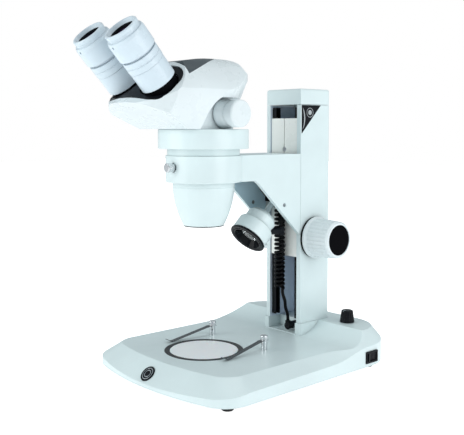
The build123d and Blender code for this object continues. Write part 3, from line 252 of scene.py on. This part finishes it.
def cord_rubber(name):
    """Black cord jacket with a satin sheen."""
    n = Nodes(name)
    fine = n.noise(1800.0, 3.0)
    n.link(n.mix(n.span(n.noise(40.0), 0.0, 1.0), (0.0015, 0.0015, 0.002), (0.003, 0.003, 0.004)),
           n.shader.inputs["Base Color"])
    n.link(n.span(fine, 0.32, 0.5), n.shader.inputs["Roughness"])
    n.bump(fine, 0.2, 0.00003)
    n.fixed(Coat_Weight=0.12, Coat_Roughness=0.06, Specular_IOR_Level=0.05)
    return n.material


# name: colour, roughness, grains per metre, their depth, softened edge, clear coat, shine
PAINTS = {
    "white_paint": ((0.73, 0.84, 0.85), 0.34, 2600.0, 0.00004, 0.0006, 0.25, 0.5),
    "white_plastic": ((0.775, 0.84, 0.86), 0.28, 3600.0, 0.00002, 0.0, 0.25, 0.5),
    "tube_paint": ((0.66, 0.76, 0.83), 0.30, 3000.0, 0.00002, 0.0005, 0.25, 0.5),
    "slide_aluminium": ((0.96, 0.97, 0.93), 0.28, 3000.0, 0.00002, 0.0004, 0.8, 0.5),
    # painted shade: the next two bluer whites stand in for the dim, cool light inside the column's channel and
    # between the arm's side plates
    "channel_blue_shade": ((0.78, 0.88, 1.0), 0.45, 2600.0, 0.00003, 0.0, 0.25, 0.5),
    "arm_plate_blue_shade": ((0.66, 0.88, 0.98), 0.4, 2600.0, 0.00003, 0.0, 0.25, 0.5),
    "grey_plastic": ((0.046, 0.062, 0.072), 0.34, 2400.0, 0.00003, 0.0006, 0.1, 0.3),
    "black_plastic": ((0.005, 0.006, 0.009), 0.36, 2200.0, 0.00004, 0.0004, 0.04, 0.14),
    "gloss_black": ((0.003, 0.004, 0.006), 0.12, 4000.0, 0.00001, 0.0004, 0.06, 0.08),
    "matte_black": ((0.002, 0.002, 0.003), 0.55, 2600.0, 0.00003, 0.0004, 0.0, 0.03),
    "dark_metal": ((0.004, 0.005, 0.007), 0.4, 2600.0, 0.00003, 0.0003, 0.02, 0.12),
    "black_ring": ((0.006, 0.007, 0.008), 0.3, 3000.0, 0.00002, 0.0003, 0.05, 0.2),
    "foot_rubber": ((0.02, 0.02, 0.02), 0.7, 1500.0, 0.00008, 0.0004, 0.0, 0.5),
}
# name: colour, roughness, the axis that its marks run across, softened edge
METALS = {
    "chrome": ((0.78, 0.80, 0.82), 0.12, "Z", 0.0003),
    "steel": ((0.50, 0.53, 0.56), 0.28, "X", 0.0003),
    "spring_steel": ((0.16, 0.17, 0.18), 0.24, "X", 0.0003),
    "brass": ((0.62, 0.45, 0.20), 0.3, "X", 0.0003),
    "silver_ink": ((0.72, 0.76, 0.78), 0.35, "Z", 0.0001),
}
OTHERS = {
    "frosted_glass": frosted_plate,
    "board": circuit_board,
    "cord": cord_rubber,
    "glass": coated_lens,
    "clear_plastic": clear,
}
made = {}


def material(name):
    """Each material is made once, when it is first asked for."""
    if name in made:
        return made[name]
    if name in PAINTS:
        made[name] = painted(name, *PAINTS[name])
    elif name in METALS:
        made[name] = machined(name, *METALS[name])
    else:
        made[name] = OTHERS[name](name)
    return made[name]


def finish_node(node, slot_name):
    mesh = nodes[node].data
    mesh.materials.clear()
    mesh.materials.append(material(slot_name))


def paint(node, slot_name, test):
    """Gives another material to those faces of a node whose centre and normal pass a test."""
    mesh = nodes[node].data
    mesh.materials.append(material(slot_name))
    index = len(mesh.materials) - 1
    for polygon in mesh.polygons:
        if test(polygon.center, polygon.normal):
            polygon.material_index = index


def along_tube(point, side):
    """How far a point lies up an eyepiece tube from its root, and how far from the tube's axis."""
    start = TUBE_RIGHT.copy()
    start.x *= side
    offset = point - start
    up = offset.dot(TUBE_AXIS)
    return up + RING_ALONG, (offset - up * TUBE_AXIS).length


def even_shading(node, angle):
    """Smooth shading, with the larger faces leading the normals and sharp edges kept."""
    mesh = nodes[node].data
    custom = mesh.attributes.get("custom_normal")
    if custom:
        mesh.attributes.remove(custom)
    mesh.shade_smooth()
    mesh.set_sharp_from_angle(angle=radians(angle))
    weighted = nodes[node].modifiers.new("weighted_normals", "WEIGHTED_NORMAL")
    weighted.keep_sharp = True
    weighted.weight = 80


def paint_eyepiece(side, word):
    """Black inside the eyepiece, and black at the tube's root and inside it."""
    def in_cup(p, n):
        up, r = along_tube(p, side)
        return r < EYECUP_BORE and up < EYECUP_TOP

    def at_root(p, n):
        up, r = along_tube(p, side)
        return up < TUBE_FLANGE or r < TUBE_BORE
    paint(f"eyepiece_{word}", "black_plastic", in_cup)
    paint(f"ocular_tube_{word}", "matte_black", at_root)


def paint_stage_clip(side, word):
    """The blade is dark spring steel, and the post keeps its chrome."""
    post = at(CLIP_POST_X * side, CLIP_POST_Y, 0)

    def on_blade(p, n):
        return Vector((p.x - post.x, p.y - post.y)).length > CLIP_POST_R
    paint(f"stage_clip_{word}", "spring_steel", on_blade)


def paint_dimmer(side, word):
    """The walls of the slot in the knob's top are white, as a pointer."""
    middle = at(DIMMER_X * side, DIMMER_Y, 0)

    def in_slot(p, n):
        return p.z > POINTER_LOW and abs(p.x - middle.x) < POINTER_HALF and n.z < 0.99
    paint(f"dimmer_knob_{word}", "white_paint", in_slot)


def paint_badge_rings():
    """The two grooves of the front badge are filled with a light ink."""
    mesh = nodes["front_badge"].data
    corners = [v.co for v in mesh.vertices]
    middle = Vector([(min(c[i] for c in corners) + max(c[i] for c in corners)) / 2 for i in range(3)])
    out = max(mesh.polygons, key=lambda f: f.area).normal.copy()

    def in_groove(p, n):
        offset = p - middle
        r = (offset - out * offset.dot(out)).length
        return any(low < r < high for low, high in RING_GROOVES)
    paint("front_badge", "silver_ink", in_groove)


def paint_hollow_shade():
    """Painted shade: the inner walls of the column's channel and of the arm's side plates get a bluer white that
    stands in for the dim, cool light in these hollows.
    """
    def in_channel(p, n):
        return abs(p.x) < CHANNEL_HALF and p.y < CHANNEL_BACK

    def in_arm(p, n):
        return abs(p.x) < ARM_HALF and abs(n.x) > 0.9 and ARM_FRONT < p.y < ARM_REAR
    paint("column_shell", "channel_blue_shade", in_channel)
    paint("arm_casting", "arm_plate_blue_shade", in_arm)


def finish_nodes():
    """Every node takes its slot's material, and then some take a second one on part of their faces."""
    slots = {s["node"]: s["material_slot"] for s in frame["record"]["subparts"]}
    for node in nodes:
        finish_node(node, slots[node])
    for node in ("ocular_tube", "diopter_ring", "eyepiece"):
        for word in ("right", "left"):
            finish_node(f"{node}_{word}", "tube_paint")
    for side, word in ((1, "right"), (-1, "left")):
        paint_eyepiece(side, word)
        paint_stage_clip(side, word)
        paint_dimmer(side, word)
    paint("objective_bezel", "black_plastic", lambda p, n: p.z > CARRIER_RIM_TOP)
    paint("column_badge", "silver_ink", lambda p, n: p.x > BADGE_FACE)
    paint_hollow_shade()
    paint_badge_rings()
    even_shading("head_housing", HEAD_SHARP)
    paint("focus_knob_caps", "matte_black", lambda p, n: True)
    paint("lamp_bezel", "gloss_black", lambda p, n: n.dot(LAMP_BACK) < 0.9)
    paint("lamp_led", "chrome", lambda p, n: n.dot(LAMP_BACK) < 0.3)


# ------------------------------------------------------------------ cords

CORD_R = 0.0021
COIL_CENTRE = at(0, 127.8, 0)
COIL_LOW, COIL_HIGH = 0.090, 0.198
COIL_OUTER = 0.0073      # the outer radius of the turns
COIL_GAP = 0.0004        # the last turn stays this far under the clip
TURNS = 19
PER_TURN = 14            # points of the route in each turn
# from the plug's neck up to the first turn
LEAD = [at(6.0, 137.6, 49.4), at(6.0, 137.6, 58.4), at(7.0, 131.6, 66.5), at(9.2, 129.0, 77.0),
        at(6.4, 127.0, 85.6)]
# from the lamp's boot up into the arm
LAMP_LEAD = [at(12.2, 117.4, 174.6), at(12.2, 117.4, 183.0), at(15.2, 119.6, 195.0),
             at(12.2, 123.0, 209.0), at(12.2, 123.0, 222.0)]


def nurbs(name, points):
    """A smooth open curve with these control points."""
    data = bpy.data.curves.new(name, "CURVE")
    data.dimensions = "3D"
    data.resolution_u = 6
    spline = data.splines.new("NURBS")
    spline.points.add(len(points) - 1)
    for target, point in zip(spline.points, points):
        target.co = (*point, 1.0)
    spline.order_u = 3
    spline.use_endpoint_u = True
    return data


def line_points(data):
    """The points along a curve that has no thickness."""
    curve = bpy.data.objects.new(data.name + "_line", data)
    bpy.context.scene.collection.objects.link(curve)
    bpy.context.view_layer.update()
    mesh = bpy.data.meshes.new_from_object(curve)
    points = [v.co.copy() for v in mesh.vertices]
    bpy.data.objects.remove(curve)
    return points


def tube_mesh(name, points, radius, around=12):
    """A round tube along the points, with a frame carried along it without twist."""
    mesh = bmesh.new()
    rings = []
    side = None
    for i, p in enumerate(points):
        ahead = points[min(i + 1, len(points) - 1)] - points[max(i - 1, 0)]
        ahead.normalize()
        if side is None:
            side = ahead.orthogonal().normalized()
        side = (side - ahead * side.dot(ahead)).normalized()
        up = ahead.cross(side)
        rings.append([mesh.verts.new(p + radius * (cos(2 * pi * k / around) * side
                                                   + sin(2 * pi * k / around) * up))
                      for k in range(around)])
    for a, b in zip(rings, rings[1:]):
        for k in range(around):
            mesh.faces.new((a[k], a[(k + 1) % around], b[(k + 1) % around], b[k]))
    mesh.faces.new(list(reversed(rings[0])))
    mesh.faces.new(rings[-1])
    return to_object(mesh, name, smooth=True)


def to_object(mesh, name, smooth=False):
    bmesh.ops.recalc_face_normals(mesh, faces=mesh.faces)
    data = bpy.data.meshes.new(name)
    mesh.to_mesh(data)
    mesh.free()
    if smooth:
        data.polygons.foreach_set("use_smooth", [True] * len(data.polygons))
    obj = bpy.data.objects.new(name, data)
    bpy.context.scene.collection.objects.link(obj)
    return obj


def helix():
    """The turns of the curly cord, from its bottom to the clip."""
    middle = COIL_OUTER - CORD_R
    low, high = COIL_LOW + CORD_R, COIL_HIGH - CORD_R - COIL_GAP
    count = TURNS * PER_TURN
    turns = []
    for k in range(count + 1):
        a = 2 * pi * k / PER_TURN
        rise = low + (high - low) * k / count
        turns.append(COIL_CENTRE + Vector((middle * cos(a), middle * sin(a), rise)))
    return turns


def into_clip():
    """A last quarter turn that rises into the clip, from pairs of an angle and a rise."""
    middle = COIL_OUTER - CORD_R
    top = COIL_HIGH - CORD_R
    return [COIL_CENTRE + Vector((middle * cos(a), middle * sin(a), top + rise))
            for a, rise in ((0.45, 0.0002), (0.9, 0.0010), (1.3, 0.0024), (1.55, 0.0042))]


def make_coil_cord():
    route = LEAD + helix() + into_clip()
    points = line_points(nurbs("curly_cord", route))
    cord = tube_mesh("curly_cord", points, CORD_R)
    cord.data.materials.append(material("cord"))
    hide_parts("coil_cord", "cord_lead")
    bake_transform(cord)


def make_lamp_lead():
    points = line_points(nurbs("lamp_cord", LAMP_LEAD))
    cord = tube_mesh("lamp_cord", points, CORD_R)
    cord.data.materials.append(material("cord"))
    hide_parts("lamp_lead")
    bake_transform(cord)


# ------------------------------------------------------------------ floor and light

def make_floor():
    """A floor that looks white to the camera and glows less for everything else."""
    mesh = bmesh.new()
    reach, back = 6.0, 5.0
    corners = [(-reach, -reach), (reach, -reach), (reach, back), (-reach, back)]
    mesh.faces.new([mesh.verts.new((x, y, 0.0)) for x, y in corners])
    floor = to_object(mesh, "floor")
    n = Nodes("pale_floor")
    n.link(n.mix(n.span(n.noise(3.0), 0.0, 1.0), (0.90, 0.91, 0.92), (0.92, 0.93, 0.94)),
           n.shader.inputs["Base Color"])
    n.fixed(Roughness=0.7, Emission_Color=(1.0, 1.0, 1.0, 1.0))
    seen = n.add("ShaderNodeLightPath").outputs["Is Camera Ray"]
    n.link(n.span(seen, 0.42, 1.0, 0.0, 1.0), n.shader.inputs["Emission Strength"])
    floor.data.materials.append(n.material)


def area_light(name, place, target, size, power, color=(1.0, 1.0, 1.0)):
    data = bpy.data.lights.new(name, "AREA")
    data.shape = "RECTANGLE"
    data.size, data.size_y = size
    data.energy = power
    data.color = color
    light = bpy.data.objects.new(name, data)
    light.location = place
    light.rotation_euler = (Vector(target) - Vector(place)).to_track_quat("-Z", "Y").to_euler()
    bpy.context.scene.collection.objects.link(light)


def make_light():
    """Three softboxes, and a world that is white to the camera and a dim cool sky for the rest."""
    world = bpy.data.worlds.new("studio")
    world.use_nodes = True
    tree = world.node_tree
    background = tree.nodes["Background"]
    background.inputs["Strength"].default_value = 1.0
    seen = tree.nodes.new("ShaderNodeLightPath")
    shade = tree.nodes.new("ShaderNodeMix")
    shade.data_type = "RGBA"
    shade.inputs[MIX_A].default_value = (0.375, 0.42, 0.44, 1.0)
    shade.inputs[MIX_B].default_value = (1.0, 1.0, 1.0, 1.0)
    tree.links.new(seen.outputs["Is Camera Ray"], shade.inputs[0])
    tree.links.new(shade.outputs[MIX_RESULT], background.inputs["Color"])
    bpy.context.scene.world = world
    middle = (0.0, 0.0, 0.2)
    area_light("right_softbox", (1.7, 0.35, 0.75), middle, (1.2, 1.6), 13.5)
    area_light("front_softbox", (-0.7, -1.8, 0.8), middle, (1.4, 1.4), 18.0, (0.98, 1.0, 0.99))
    area_light("top_softbox", (0.1, 0.3, 2.0), middle, (1.4, 1.4), 6.8)
    bpy.context.scene.view_settings.view_transform = "Standard"


make_camera()
make_coil_cord()
make_lamp_lead()
finish_nodes()
make_floor()
make_light()
